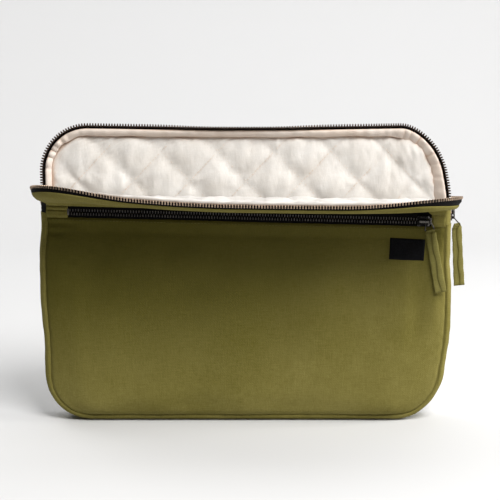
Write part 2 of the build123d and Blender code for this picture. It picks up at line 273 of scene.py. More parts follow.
def shell(front, back):
    """Points and faces of a closed layer between two grids, with a rounded rim."""
    rows, columns = front.shape[:2]
    count = rows * columns
    a, b = front.reshape(-1, 3), back.reshape(-1, 3)
    rim = rim_of(rows, columns)
    middle = (a[rim] + b[rim]) / 2
    along = np.roll(middle, -1, axis=0) - np.roll(middle, 1, axis=0)
    out = np.cross(along, b[rim] - a[rim])
    out /= np.maximum(np.linalg.norm(out, axis=1), 1e-9)[:, None]
    thick = np.linalg.norm(b[rim] - a[rim], axis=1)[:, None]
    edge = middle - out * thick * 0.4
    points = np.concatenate([a, b, edge])
    faces = grid_faces(rows, columns) + grid_faces(rows, columns, count, flip=True)
    total = len(rim)
    for i in range(total):
        j = (i + 1) % total
        faces.append([rim[j], rim[i], 2 * count + i, 2 * count + j])
        faces.append([2 * count + j, 2 * count + i, count + rim[i], count + rim[j]])
    return points, faces


def make_layer(name, front, back, bend, material):
    """A cloth or pad between two grids on the shut sleeve, bent to where it lies."""
    points, faces = shell(front, back)
    return make_piece(name, bend(points), faces, material, points)


def band(sections):
    """Points and faces of a closed tube through an array of sections, (n, k, 3)."""
    count, around = sections.shape[:2]
    faces = grid_faces(count, around, wrap=True)
    faces.append(list(range(around))[::-1])
    faces.append([(count - 1) * around + i for i in range(around)])
    return sections.reshape(-1, 3), faces


def spread_columns(across):
    """Shares of the half width from -1 to 1, closer together at the sides."""
    spread = np.linspace(-1, 1, across)
    return 0.55 * np.sin(spread * math.pi / 2) + 0.45 * spread


def corner_rows(columns, inset, angles, radius, way):
    """Rows of a grid between two rounded corners: the upper ones if way is 1, else the lower."""
    turn = HEIGHT - radius if way > 0 else radius
    radius = radius - inset
    rows = []
    for angle in angles:
        reach = EDGE - inset - radius + radius * math.cos(angle)
        rows.append((columns * reach, np.full(len(columns), turn + way * radius * math.sin(angle))))
    return rows


def panel_grid(inset, low, high, across=96, tall=60):
    """Heights and places of a grid over the sleeve's outline, drawn in by inset.

    low and high give its lower and upper edges at x, or None where the outline ends it."""
    columns = spread_columns(across)
    turn = np.linspace(0, math.pi / 2, 13)
    rows = corner_rows(columns, inset, turn[:0:-1], BASE_RADIUS, -1) if low is None else []
    x = columns * (EDGE - inset)
    start = np.full(across, BASE_RADIUS) if low is None else low(x)
    stop = np.full(across, HEIGHT - TOP_RADIUS) if high is None else high(x)
    rows += [(x, mix(start, stop, share)) for share in np.linspace(0, 1, tall)]
    if high is None:
        rows += corner_rows(columns, inset, turn[1:], TOP_RADIUS, 1)
    return np.swapaxes(rows, 0, 1)


def inside(x, z, inset):
    """How far a point is inside the outline, in millimetres, a little rounded at the corners."""
    side = half_width(z, inset) - np.abs(x)
    return np.minimum(side, np.minimum(z - inset, HEIGHT - inset - z))


# ---- routes round the outer edge


def edge_route(upper, left_end, right_end, step):
    """Places and outward directions round the outer edge, from the left end to the right.

    It goes over the top if upper is true, and else along the base."""
    radius = TOP_RADIUS if upper else BASE_RADIUS
    corner = EDGE - radius
    turn = HEIGHT - radius if upper else radius
    way = 1 if upper else -1
    lengths = [abs(turn - left_end), radius * math.pi / 2, 2 * corner]
    lengths += [radius * math.pi / 2, abs(turn - right_end)]
    marks = np.cumsum([0, *lengths])
    places = np.linspace(0, marks[-1], max(2, round(marks[-1] / step) + 1))
    route = []
    for d in places:
        if d <= marks[1]:
            route.append((-EDGE, left_end + way * d, -1, 0))
        elif d <= marks[2]:
            a = (d - marks[1]) / radius
            out = (-math.cos(a), way * math.sin(a))
            route.append((-corner + radius * out[0], turn + radius * out[1], *out))
        elif d <= marks[3]:
            route.append((-corner + d - marks[2], turn + way * radius, 0, way))
        elif d <= marks[4]:
            a = (d - marks[3]) / radius
            out = (math.sin(a), way * math.cos(a))
            route.append((corner + radius * out[0], turn + radius * out[1], *out))
        else:
            route.append((EDGE, turn - way * (d - marks[4]), 1, 0))
    return places, np.array(route)


def along_route(route, sections):
    """Places each route point's section, given as (out, y) pairs, in space."""
    out, y = sections[..., 0], sections[..., 1]
    x = route[:, None, 0] + out * route[:, None, 2]
    z = route[:, None, 1] + out * route[:, None, 3]
    return np.stack([x, y, z], axis=-1)


def capsule(start, end, radius, around=16):
    """A rounded bar between two points of a section, for every route point.

    start and end are (n, 2), radius is (n,)."""
    axis = end - start
    length = np.linalg.norm(axis, axis=1)[:, None]
    axis = axis / length
    side = np.stack([axis[:, 1], -axis[:, 0]], axis=1)
    made = []
    for a in np.linspace(0, 2 * math.pi, around, endpoint=False) + math.pi / around:
        base = np.where(math.sin(a) > 0, 1.0, 0.0)
        centre = start + axis * length * base
        reach = radius[:, None]
        made.append(centre + side * reach * math.cos(a) + axis * reach * math.sin(a) * 0.9)
    return np.stack(made, axis=1)


def make_band(name, places, route, sections, bend, material, spacing, sharp=50):
    """A strip of cloth along a route, its points about spacing apart across the flat strip."""
    points, faces = band(along_route(route, sections))
    around = sections.shape[1]
    u, v = np.meshgrid(places, np.linspace(0, spacing * around, around), indexing="ij")
    return make_piece(name, bend(points), faces, material, points_at(u, 0, v), sharp)


# ---- cloth simulation


CLOTH = {
    "quality": 5,
    "mass": 0.25,
    "air_damping": 3,
    "tension_stiffness": 25,
    "compression_stiffness": 25,
    "shear_stiffness": 12,
    "tension_damping": 15,
    "compression_damping": 15,
    "bending_damping": 2,
}


def simulate(grid, pinned, pull, slack, frames, bending):
    """Where a grid of cloth, in millimetres, lies once it has settled, held where pinned.

    pull is an even acceleration in metres per second squared. slack is how much larger the
    cloth is than the space that it is held in, as a share."""
    rows, columns = grid.shape[:2]
    mesh = bpy.data.meshes.new("settling")
    mesh.from_pydata((grid.reshape(-1, 3) * MM).tolist(), [], grid_faces(rows, columns))
    obj = bpy.data.objects.new("settling", mesh)
    scene = bpy.context.scene
    scene.collection.objects.link(obj)
    held = obj.vertex_groups.new(name="held")
    for index, weight in enumerate(np.asarray(pinned, float).ravel()):
        if weight > 0:
            held.add([index], float(weight), "REPLACE")
    cloth = obj.modifiers.new("cloth", "CLOTH")
    settings = cloth.settings
    settings.vertex_group_mass = "held"
    for key, value in CLOTH.items():
        setattr(settings, key, value)
    settings.bending_stiffness = bending
    settings.shrink_min = -slack
    cloth.collision_settings.use_collision = False
    cloth.point_cache.frame_start = 1
    cloth.point_cache.frame_end = frames
    old_gravity = tuple(scene.gravity)
    scene.gravity = pull
    for number in range(1, frames + 1):
        scene.frame_set(number)
    view = bpy.context.evaluated_depsgraph_get()
    settled = obj.evaluated_get(view).to_mesh()
    found = np.zeros(rows * columns * 3)
    settled.vertices.foreach_get("co", found)
    bpy.data.objects.remove(obj)
    scene.gravity = old_gravity
    scene.frame_set(1)
    return found.reshape(rows, columns, 3) / MM


def settled(grid, pinned, pull, slack, cap, frames=22, bending=0.5):
    """How far each point moves when the cloth settles, no further than cap."""
    move = simulate(grid, pinned, pull, slack, frames, bending) - grid
    far = np.linalg.norm(move, axis=-1, keepdims=True)
    return move * (cap * np.tanh(far / cap) / np.maximum(far, 1e-9))


def quilt_lines(x, z):
    """Distance to the nearest line of quilting, in millimetres.

    The second way's lines count as further off than they are, so that they lie shallower."""
    near = []
    for way in (1, -1):
        across = (x * math.sin(QUILT_SLOPE) + way * z * math.cos(QUILT_SLOPE)) / QUILT_PITCH
        near.append(np.abs(across - np.round(across)) * QUILT_PITCH)
    return np.minimum(near[0], near[1] * 1.5 + 1.2)


# ---- materials


class Nodes:
    """Short ways to add and join the nodes of one material."""

    def __init__(self, name):
        self.material = bpy.data.materials.new(name)
        self.material.use_nodes = True
        self.tree = self.material.node_tree
        self.shader = self.tree.nodes["Principled BSDF"]

    def add(self, kind, inputs=(), **settings):
        """Adds a node, with inputs given in order or by name."""
        node = self.tree.nodes.new(kind)
        for key, value in settings.items():
            setattr(node, key, value)
        named = inputs.items() if isinstance(inputs, dict) else enumerate(inputs)
        for key, value in named:
            self.put(node.inputs[key], value)
        return node

    def put(self, socket, value):
        """Sets a socket to a number, or joins another node's output to it."""
        if isinstance(value, bpy.types.NodeSocket):
            self.tree.links.new(value, socket)
        else:
            socket.default_value = value

    def sums(self, operation, *values):
        return self.add("ShaderNodeMath", values, operation=operation).outputs[0]

    def plus(self, first, second):
        return self.sums("ADD", first, second)

    def times(self, first, second):
        return self.sums("MULTIPLY", first, second)

    def ripple(self, value, length):
        """A sine wave of a length in millimetres."""
        return self.sums("SINE", self.times(value, 2 * math.pi / length))

    def place(self, stretch=(1, 1, 1)):
        """The place on the flat cloth in millimetres, stretched."""
        source = self.add("ShaderNodeAttribute", attribute_name="cloth").outputs["Vector"]
        return self.stretch(source, stretch)

    def stretch(self, source, stretch):
        return self.add("ShaderNodeVectorMath", (source, stretch), operation="MULTIPLY").outputs[0]

    def apart(self, place=None):
        """The three coordinates of a place, or of the place on the flat cloth."""
        return self.add("ShaderNodeSeparateXYZ", [place or self.place()]).outputs

    def noise(self, place, scale, detail=2.0, rough=0.5):
        inputs = {"Vector": place, "Scale": scale, "Detail": detail, "Roughness": rough}
        return self.add("ShaderNodeTexNoise", inputs).outputs["Fac"]

    def spread(self, value, low, high, new_low=0.0, new_high=1.0):
        return self.add("ShaderNodeMapRange", (value, low, high, new_low, new_high)).outputs[0]

    def blend_colours(self, share, first, second):
        first, second = ((*c, 1.0) if isinstance(c, tuple) else c for c in (first, second))
        return self.add("ShaderNodeMix", {0: share, 6: first, 7: second}, data_type="RGBA").outputs[2]

    def bump(self, height, strength, distance, before=None):
        inputs = {"Strength": strength, "Distance": distance, "Height": height}
        if before is not None:
            inputs["Normal"] = before
        return self.add("ShaderNodeBump", inputs).outputs[0]

    def finish(self, **values):
        for key, value in values.items():
            self.put(self.shader.inputs[key.replace("_", " ")], value)
        return self.material


def scaled(colour, amount):
    return tuple(amount * c for c in colour)


def weave(nodes, pitch):
    """Height of a plain weave: each yarn rises over one crossing and dips under the next."""
    x, _, z = nodes.apart()
    return nodes.times(nodes.ripple(x, 2 * pitch), nodes.ripple(z, 2 * pitch))


def canvas_material(name, shade, light, pitch=0.8, deep=None):
    """Dyed cotton canvas: plain weave, slubs, faded and worn in soft patches.

    deep is the colour of a painted shadow of the flap: a darker olive blended in towards the top of
    the cloth, its lower edge rising to the right, stronger on the left and patchy."""
    nodes = Nodes(name)
    yarn = weave(nodes, pitch)
    slub_across = nodes.noise(nodes.place((0.12, 1, 1.6)), 1.0, 3)
    slub_along = nodes.noise(nodes.place((1.6, 1, 0.12)), 1.0, 3)
    patches = nodes.noise(nodes.place(), 0.016, 4, 0.6)
    flecks = nodes.noise(nodes.place(), 0.9, 2)
    slubs = nodes.plus(slub_across, slub_along)
    tone = nodes.plus(nodes.spread(patches, 0.3, 0.7, -0.3, 0.3), slubs)
    tone = nodes.plus(tone, nodes.spread(flecks, 0.3, 0.7, -0.16, 0.16))
    tone = nodes.plus(tone, nodes.times(yarn, 0.1))
    colour = nodes.blend_colours(nodes.spread(tone, 0.55, 1.45), shade, light)
    # painted shadow of the flap: a darker olive over the upper cloth, reaching less far down on the
    # right
    if deep:
        x, _, z = nodes.apart()
        shorter = nodes.spread(x, 10, 100, 0, 60)
        high = nodes.spread(nodes.sums("SUBTRACT", z, shorter), 20, 125)
        left = nodes.spread(x, -190, 60, 0.72, 0.55)
        uneven = nodes.spread(patches, 0.3, 0.7, 0.75, 1.2)
        share = nodes.times(nodes.times(high, left), uneven)
        colour = nodes.blend_colours(share, colour, deep)
    return nodes.finish(
        Base_Color=colour,
        Roughness=nodes.spread(slubs, 0.6, 1.4, 0.82, 0.95),
        Normal=nodes.bump(slubs, 0.3, 0.0003, nodes.bump(yarn, 0.35, 0.00018)),
        Sheen_Weight=0.02,
        Specular_IOR_Level=0.06,
    )


def cotton_material(name, shade, light, wrinkle=0.5, pitch=0.5, painted_groove_shade=None):
    """Undyed cotton lining: fine weave and small creases, with warm painted shade in its hollows,
    where ambient occlusion finds them.

    The last argument gives the heights between which a grey band of painted shade lies, weaker towards
    the right; it stands in for the shade of the groove behind the rolled edge."""
    nodes = Nodes(name)
    yarn = weave(nodes, pitch)
    patches = nodes.noise(nodes.place(), 0.03, 3, 0.55)
    slubs = nodes.noise(nodes.place((0.1, 1, 1.3)), 1.0, 2)
    tone = nodes.plus(patches, nodes.times(slubs, 0.5))
    colour = nodes.blend_colours(nodes.spread(tone, 0.5, 1.0), shade, light)
    # painted shade: where ambient occlusion finds hollows, the colour turns warmer and darker
    hollow = nodes.add("ShaderNodeAmbientOcclusion", {"Distance": 0.009}, samples=6)
    painted_hollow_shade = tuple(c * w for c, w in zip(shade, (0.82, 0.60, 0.45)))
    colour = nodes.blend_colours(nodes.spread(hollow.outputs["AO"], 0.25, 0.85), painted_hollow_shade, colour)
    # painted shade: a grey band between the given heights, weaker towards the right
    if painted_groove_shade:
        x, _, z = nodes.apart()
        start, end = painted_groove_shade
        rise = nodes.spread(z, start, start + 9)
        fall = nodes.spread(z, end - 9, end, 1.0, 0.0)
        middle = nodes.spread(x, 90, 190, 0.9, 0.3)
        share = nodes.times(nodes.times(rise, fall), middle)
        colour = nodes.blend_colours(share, colour, scaled(shade, 0.60))
    creases = nodes.noise(nodes.place((1, 1, 0.45)), 0.12, 4, 0.55)
    return nodes.finish(
        Base_Color=colour,
        Roughness=nodes.spread(slubs, 0.3, 0.7, 0.85, 0.95),
        Normal=nodes.bump(creases, wrinkle, 0.0016, nodes.bump(yarn, 0.2, 0.0001)),
        Sheen_Weight=0.15,
        Specular_IOR_Level=0.2,
    )


def tape_material(name, shade, light):
    """Zip tape: ribs along its length, a little shine."""
    nodes = Nodes(name)
    x, _, z = nodes.apart()
    ribs = nodes.times(nodes.ripple(z, 0.7), nodes.ripple(x, 0.9))
    dust = nodes.noise(nodes.place(), 0.25, 3)
    return nodes.finish(
        Base_Color=nodes.blend_colours(nodes.spread(dust, 0.35, 0.75), shade, light),
        Roughness=nodes.spread(dust, 0.3, 0.7, 0.6, 0.8),
        Normal=nodes.bump(ribs, 0.35, 0.00015),
        Specular_IOR_Level=0.06,
    )


def foam_material(name, shade, light):
    """Open-cell foam: small round pores."""
    nodes = Nodes(name)
    cells = nodes.add("ShaderNodeTexVoronoi", {"Vector": nodes.place(), "Scale": 1.1})
    pores = cells.outputs["Distance"]
    return nodes.finish(
        Base_Color=nodes.blend_colours(nodes.spread(pores, 0.1, 0.7), shade, light),
        Roughness=0.95,
        Normal=nodes.bump(pores, 0.5, 0.0005),
    )


def metal_material(name, dark, worn, roughness):
    """Aged metal: dark in its hollows and rubbed bright on its edges."""
    nodes = Nodes(name)
    place = nodes.add("ShaderNodeTexCoord").outputs["Object"]
    tarnish = nodes.noise(nodes.stretch(place, (1000, 1000, 1000)), 0.35, 4, 0.65)
    edges = nodes.spread(nodes.add("ShaderNodeNewGeometry").outputs["Pointiness"], 0.5, 0.62)
    rubbed = nodes.times(edges, nodes.spread(tarnish, 0.3, 0.6, 0.4, 1.0))
    share = nodes.sums("MAXIMUM", rubbed, nodes.spread(tarnish, 0.55, 0.85, 0.0, 0.5))
    scratches = nodes.noise(nodes.stretch(place, (4000, 400, 4000)), 1.0, 3)
    return nodes.finish(
        Base_Color=nodes.blend_colours(share, dark, worn),
        Metallic=1.0,
        Roughness=nodes.spread(tarnish, 0.3, 0.7, roughness - 0.08, roughness + 0.14),
        Normal=nodes.bump(scratches, 0.08, 0.0001),
    )


def woven_label_material(name, shade, light):
    """Black satin damask: fine raised ribs."""
    nodes = Nodes(name)
    x, _, z = nodes.apart()
    twill = nodes.ripple(nodes.plus(x, nodes.times(z, 2.0)), 0.9)
    lint = nodes.noise(nodes.place(), 0.8, 4, 0.7)
    share = nodes.plus(nodes.spread(lint, 0.4, 0.8), nodes.times(twill, 0.12))
    return nodes.finish(
        Base_Color=nodes.blend_colours(share, shade, light),
        Roughness=nodes.spread(lint, 0.3, 0.7, 0.55, 0.75),
        Normal=nodes.bump(twill, 0.3, 0.0001),
        Specular_IOR_Level=0.06,
    )


def studio_material(name, colour):
    """Plain paper, darker in front of the picture, so that it doesn't light the base."""
    nodes = Nodes(name)
    place = nodes.add("ShaderNodeTexCoord").outputs["Object"]
    paper = nodes.blend_colours(nodes.noise(place, 0.8, 2), scaled(colour, 0.985), colour)
    near = nodes.spread(nodes.apart(place)[1], -0.26, -0.6)
    paper = nodes.blend_colours(near, paper, scaled(colour, 0.45))
    return nodes.finish(Base_Color=paper, Roughness=0.9, Specular_IOR_Level=0.1)


SHADE, LIGHT = (0.146, 0.126, 0.028), (0.222, 0.192, 0.057)
CANVAS_CLOTH = canvas_material("olive_canvas", SHADE, LIGHT)
# the front's canvas has the flap's shadow painted in, as a darker olive towards its top
FRONT_CLOTH_PAINTED_SHADOW = canvas_material("front_canvas", SHADE, LIGHT, deep=(0.056, 0.049, 0.003))
PULL_CLOTH = canvas_material("pull_canvas", (0.13, 0.115, 0.03), (0.205, 0.183, 0.058), 0.7)
THREAD = canvas_material("olive_thread", (0.14, 0.12, 0.035), (0.21, 0.185, 0.065), 0.3)
LINING = cotton_material("quilted_cotton", (0.74, 0.70, 0.65), (0.81, 0.79, 0.76))
# painted shade: the flap's lining is a darker copy of the cream lining, because it faces up into the
# light
FLAP_LINING_PAINTED_SHADE = cotton_material(
    "flap_cotton_painted_shade", (0.555, 0.525, 0.495), (0.61, 0.59, 0.565), painted_groove_shade=(HEIGHT - 34, HEIGHT - 3)
)
# painted shade: the flap's binding is the cream binding made grey, standing in for the shade in the
# groove between it and the lining
FLAP_BINDING_PAINTED_SHADE = cotton_material("flap_binding", (0.42, 0.38, 0.345), (0.48, 0.445, 0.41))
# painted shade: the rear binding is a warmer, darker copy of the lining's cream, standing in for warm
# light bounced under its roll
BINDING = cotton_material("cotton_binding", (0.74, 0.62, 0.53), (0.79, 0.71, 0.645))
CREAM_THREAD = cotton_material("cream_thread", (0.72, 0.66, 0.58), (0.84, 0.79, 0.71), 0.1, 0.3)
POCKETING = cotton_material("pocketing", (0.32, 0.30, 0.2), (0.42, 0.4, 0.28), 0.2)
TAPE_CLOTH = tape_material("zip_tape", (0.0015, 0.0012, 0.0012), (0.0055, 0.0045, 0.0042))
FOAM = foam_material("foam", (0.62, 0.6, 0.55), (0.86, 0.85, 0.8))
BROWN_METAL = metal_material("aged_copper", (0.14, 0.095, 0.065), (0.5, 0.38, 0.28), 0.36)
# painted shade: the rear row's copper is a far darker copy of the flap row's, standing in for the
# shade on its inner faces
COPPER_PAINTED_SHADE = metal_material("copper_painted_shade", (0.011, 0.007, 0.005), (0.085, 0.055, 0.04), 0.45)
DARK_METAL = metal_material("dark_nickel", (0.022, 0.021, 0.02), (0.19, 0.175, 0.165), 0.36)
SLIDER_METAL = metal_material("gunmetal", (0.012, 0.011, 0.011), (0.34, 0.32, 0.29), 0.3)
LABEL_CLOTH = woven_label_material("black_label", (0.0025, 0.0025, 0.003), (0.010, 0.010, 0.012))


# ---- canvas


def front_bulge(x, z):
    """How far the front stands proud of its seams: flat under the zip, fuller low down."""
    side = np.minimum(SEAM - np.abs(x), half_width(z, SEAM_INSET) - np.abs(x))
    rise = ease(side, 0, 30) * ease(z - SEAM_INSET, -2, 6)
    below = zip_height(x) - ZIP_WINDOW / 2 - z
    soft = rise * (0.35 * ease(below, 4, 40) + 1.5 * np.clip((below - 20) / 180, 0, 1) ** 1.3)
    folds = waves(x, z * 0.25, 75, 3) * ease(below, 10, 80) * rise
    bent = x + 3 * np.sin(z / 40)
    pulled = ease(below, 16, 40) * (1 - ease(below, 70, 140)) * ease(side, 0, 9)
    pull = 2.0 * bell(bent, 180, 6) - 2.8 * bell(bent, 163, 7.5)
    upright = ease(below, 14, 50) * (1 - ease(below, 110, 190)) * ease(side, 0, 7)
    left = 1.3 * bell(bent, -180, 7) - 1.5 * bell(bent, -148, 15)
    return 3.0 * soft + 1.1 * folds + pull * pulled + left * upright


def seam_roll(near, depth=2.3):
    """How far cloth turns in where it is sewn into a seam, near being its distance."""
    return depth * (1 - ease(near, 0, 3.0)) ** 1.5


def puckers(x, z, near, size):
    """Small gathers along a seam."""
    around = x + z * 0.9
    wave = np.sin(around / 2.1 + 1.7 * waves(x, z, 60, 11))
    return size * wave * (1 - ease(near, 1, 9)) * (0.5 + 0.5 * waves(x, z, 45, 12))


def end_folds(x, z):
    """Horizontal creases of the front canvas beside the pocket zip's two ends."""
    total = 0
    for place, drop, size, reach in ((-183, 6, 1.5, 17), (-183, 15, 1.1, 11), (184, 8, 0.7, 12)):
        middle = zip_height(x) - ZIP_WINDOW / 2 - drop
        along = 1 - ease(np.abs(x - place), 0.3 * reach, 2 * reach)
        total = total + size * along * bell(z, middle, 2.6)
    return total


def make_front_canvas():
    """The front below the pocket zip, with its folded upper edge."""
    top = lambda x: zip_height(x) - ZIP_WINDOW / 2
    x, z = panel_grid(SEAM_INSET, None, top, 112, 72)
    near = np.minimum(half_width(z, SEAM_INSET) - np.abs(x), z - SEAM_INSET)
    bulge = front_bulge(x, z)
    grid = points_at(x, FRONT - bulge, z)
    pinned = (near < 1) | (top(x) - z < 14)
    grid = grid + settled(grid, pinned, pull=(0, -4.0, -1.0), slack=0.0016, cap=2.6)
    lip = 1 - ease(top(x) - z, 0, 1.8)
    inward = seam_roll(near) + 0.9 * lip + end_folds(x, z) - puckers(x, z, near, 0.35)
    grid[..., 1] += inward
    inner = grid + np.array([0, CANVAS, 0])
    piece = make_layer("front_canvas", grid, inner, slump, FRONT_CLOTH_PAINTED_SHADOW)
    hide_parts("front_panel")
    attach(piece, "case")
    return piece


def make_back_canvas():
    """The back, sewn to the gusset all round below the mouth."""
    x, z = panel_grid(SEAM_INSET, None, None, 100, 56)
    near = inside(x, z, SEAM_INSET)
    swell = 1.6 * ease(near, 0, 40) + 0.8 * waves(x, z, 110, 21) * ease(near, 0, 30)
    grid = points_at(x, BACK + swell, z)
    grid = grid + settled(grid, near < 1, pull=(0, 3.0, -1.0), slack=0.0012, cap=2.2)
    grid[..., 1] -= seam_roll(near) - puckers(x, z, near, 0.3)
    inner = grid - np.array([0, CANVAS, 0])
    piece = make_layer("back_canvas", inner, grid, sag, CANVAS_CLOTH)
    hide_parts("back_panel")
    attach(piece, "case")


def flap_grid(inset, low, across, strip_rows, flap_rows):
    """A grid from a lower edge over the crease to the mouth's edge, on the shut sleeve."""
    columns = spread_columns(across)
    x = columns * (EDGE - inset)
    middle = crease_height(x) + BEND
    side = np.full(across, HEIGHT - TOP_RADIUS)
    rows = [(x, mix(low(x), middle, share)) for share in np.linspace(0, 1, strip_rows)]
    rows += [(x, mix(middle, side, share)) for share in np.linspace(0, 1, flap_rows)[1:]]
    rows += corner_rows(columns, inset, np.linspace(0, math.pi / 2, 15)[1:], TOP_RADIUS, 1)
    return np.swapaxes(rows, 0, 1)


def blend_flap(piece):
    """Bakes in the transform of cloth that crosses the crease, whose shape already follows the case
    below it and the flap above it; the piece is not attached to either.
    """
    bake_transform(piece)


def gape(x):
    """How far the canvas above the pocket zip is drawn up, near the zip's right end."""
    return 4.0 * ease(x, 30, 150) * (1 - ease(x, 171, 177))


def make_flap_canvas():
    """The front above the pocket zip: a strip, the crease and the flap."""
    low = lambda x: zip_height(x) + ZIP_WINDOW / 2 + gape(x)
    x, z = flap_grid(SEAM_INSET, low, 112, 10, 12)
    near = np.minimum(half_width(z, SEAM_INSET) - np.abs(x), HEIGHT - SEAM_INSET - z)
    above = z - crease_height(x)
    swell = 0.8 * ease(near, 0, 20) * ease(above, 4, 26) * (1 + 0.7 * waves(x, z, 70, 31))
    grid = points_at(x, FRONT - swell, z)
    lip = 1 - ease(z - low(x), 0, 1.6)
    grid[..., 1] += seam_roll(near, 1.2) + 0.9 * lip - puckers(x, z, near, 0.25)
    inner = grid + np.array([0, CANVAS, 0])
    piece = make_layer("flap_canvas", grid, inner, fold, CANVAS_CLOTH)
    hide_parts("front_upper_strip", "flap_panel")
    blend_flap(piece)


def make_gusset_canvas():
    """The band round the sides and base: rounded, with a groove at each seam."""
    places, route = edge_route(False, LEFT_END, RIGHT_END, 4.0)
    half = [(-6.6, 14.3), (-5.6, 15.6), (-4.3, 15.7), (-2.6, 14.4)]
    half += [(-1.2, 12.4), (-0.3, 9.4), (0.1, 5.0)]
    outer = [(out, -y) for out, y in half] + [(0.25, 0.0)] + [(out, y) for out, y in half[::-1]]
    inner = [(out - CANVAS, y * 0.94) for out, y in outer[::-1]]
    section = np.array(outer + inner)
    sections = np.repeat(section[None], len(places), axis=0)
    x, z = route[:, 0, None], route[:, 1, None]
    soft = 0.3 * waves(x, z, 50, 41) + 0.22 * waves(x, z, 17, 42)
    open_side = (np.abs(route[:, 2]) > 0.5)[:, None]
    flat = np.where(open_side, 1.0, 0.25)
    sections[..., 0] += soft * flat * np.where(np.abs(sections[..., 1]) < 13, 1, 0.3)
    base = route[:, 3, None] < -0.95
    sections[..., 0] = np.where(base, np.minimum(sections[..., 0], 0), sections[..., 0])
    points, faces = band(slump(along_route(route, sections)))
    u, v = np.meshgrid(places, np.arange(len(section)) * 2.2, indexing="ij")
    piece = make_piece("gusset_canvas", points, faces, CANVAS_CLOTH, points_at(u, 0, v))
    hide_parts("gusset")
    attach(piece, "case")


def make_gusset_lining():
    """Cream lining inside the gusset."""
    places, route = edge_route(False, LEFT_END, RIGHT_END, 5.0)
    outer = [(-1.4, -9.3), (-1.3, 0.0), (-1.4, 9.3)]
    inner = [(-2.6, 9.8), (-3.6, 5.0), (-3.9, 0.0), (-3.6, -5.0), (-2.6, -9.8)]
    section = np.array(outer + inner)
    sections = np.repeat(section[None], len(places), axis=0)
    ripple = 0.35 * waves(route[:, 0, None], route[:, 1, None], 22, 43)
    sections[..., 0] += np.where(sections[..., 0] < -2, ripple, 0)
    piece = make_band("gusset_cotton", places, route, sections, slump, LINING, 3.0)
    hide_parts("gusset_lining")
    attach(piece, "case")


# ---- padding and quilting


def quilt_height(x, z, near, seed):
    """The puff of a quilted layer: full between its lines of stitching and held at them."""
    lines = quilt_lines(x, z)
    puff = (1 - np.exp(-lines / 5.5)) * (1 + 0.25 * waves(x, z, 60, seed + 2))
    soft = 0.1 + 0.9 * ease(near, 0, 7)
    ripple = 0.9 * waves(x, z * 0.45, 19, seed) + 0.45 * waves(x + z * 0.3, z * 0.4, 8, seed + 1)
    gathers = 0.32 * np.sin((x - z) / 2.0 + 2 * waves(x, z, 30, seed + 3)) * np.exp(-lines / 4)
    return (2.3 * puff + ripple * ease(lines, 0.5, 7) + gathers * ease(lines, 0, 2)) * soft


def quilt_puff(x, z, base_y, way, near, seed):
    """Places of a quilted face, way being +1 towards the back and -1 towards the front."""
    start = quilt_height(x, z, near, seed)
    grid = points_at(x, base_y + way * start, z)
    pinned = (near < 2) | (quilt_lines(x, z) < 1.7)
    pull = (0, way * 4.5, -3.0)
    grid = grid + settled(grid, pinned, pull, slack=0.020, cap=1.5, frames=20, bending=0.05)
    return grid


def make_back_quilt():
    """The back's quilted lining, which shows in the mouth."""
    inset = 8.4
    x, z = panel_grid(inset, None, None, 124, 78)
    near = inside(x, z, inset)
    face_y = box_mm("back_lining")[0][1]
    grid = quilt_puff(x, z, face_y + 0.6, -1, near, 51)
    hollow = 1.9 * (1 - ease(near, 0, 8)) * ease(x, 110, 165)
    grid[..., 1] += hollow
    rear = points_at(x, box_mm("back_lining")[1][1] + hollow, z)
    piece = make_layer("back_quilt", grid, rear, sag, LINING)
    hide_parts("back_lining")
    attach(piece, "case")
    return piece


def lining_depth(x, z, below, above):
    """A layer's y on the shut sleeve: behind the pocket below the crease, against the canvas above."""
    return mix(below, above, ease(z - crease_height(x), -2, 11))


def make_front_quilt():
    """The front's quilted lining, one cloth from the base over the crease to the mouth."""
    inset = 10.0
    x, z = panel_grid(inset, None, None, 124, 78)
    near = inside(x, z, inset)
    back_face = box_mm("front_lining")[1][1]
    flap_face = FRONT + CANVAS + PAD + QUILT
    base = lining_depth(x, z, back_face, flap_face)
    grid = quilt_puff(x, z, 0.0, 1, near, 61)
    fuller = mix(0.5, 0.2 + 0.85 * ease(near, 8, 28), ease(z - crease_height(x), 4, 20))
    grid[..., 1] = base - 0.6 + fuller * grid[..., 1]
    under = points_at(x, base - QUILT + 0.1, z)
    piece = make_layer("front_quilt", under, grid, fold, FLAP_LINING_PAINTED_SHADE)
    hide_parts("front_lining", "flap_lining")
    blend_flap(piece)


def make_foam(name, x, z, near, front_y, back_y, bend):
    """A foam slab, thinner at its rim."""
    thin = 0.45 * (1 - ease(near, 0, 7)) * (back_y - front_y)
    front = points_at(x, front_y + thin, z)
    back = points_at(x, back_y - thin, z)
    return make_layer(name, front, back, bend, FOAM)


def make_padding():
    """The foam of the back, and of the front from the base over the crease to the mouth."""
    inset = 9.0
    x, z = panel_grid(inset, None, None, 80, 50)
    near = inside(x, z, inset)
    low, high = box_mm("back_padding")
    back = make_foam("back_foam", x, z, near, low[1] + LOOSE, high[1] - LOOSE, sag)
    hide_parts("back_padding")
    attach(back, "case")

    low, high = box_mm("front_padding")
    flap_front = FRONT + CANVAS
    front_y = lining_depth(x, z, low[1] + LOOSE, flap_front + LOOSE)
    back_y = lining_depth(x, z, high[1] - LOOSE, flap_front + PAD - LOOSE)
    front = make_foam("front_foam", x, z, near, front_y, back_y, fold)
    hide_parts("front_padding", "flap_padding")
    blend_flap(front)


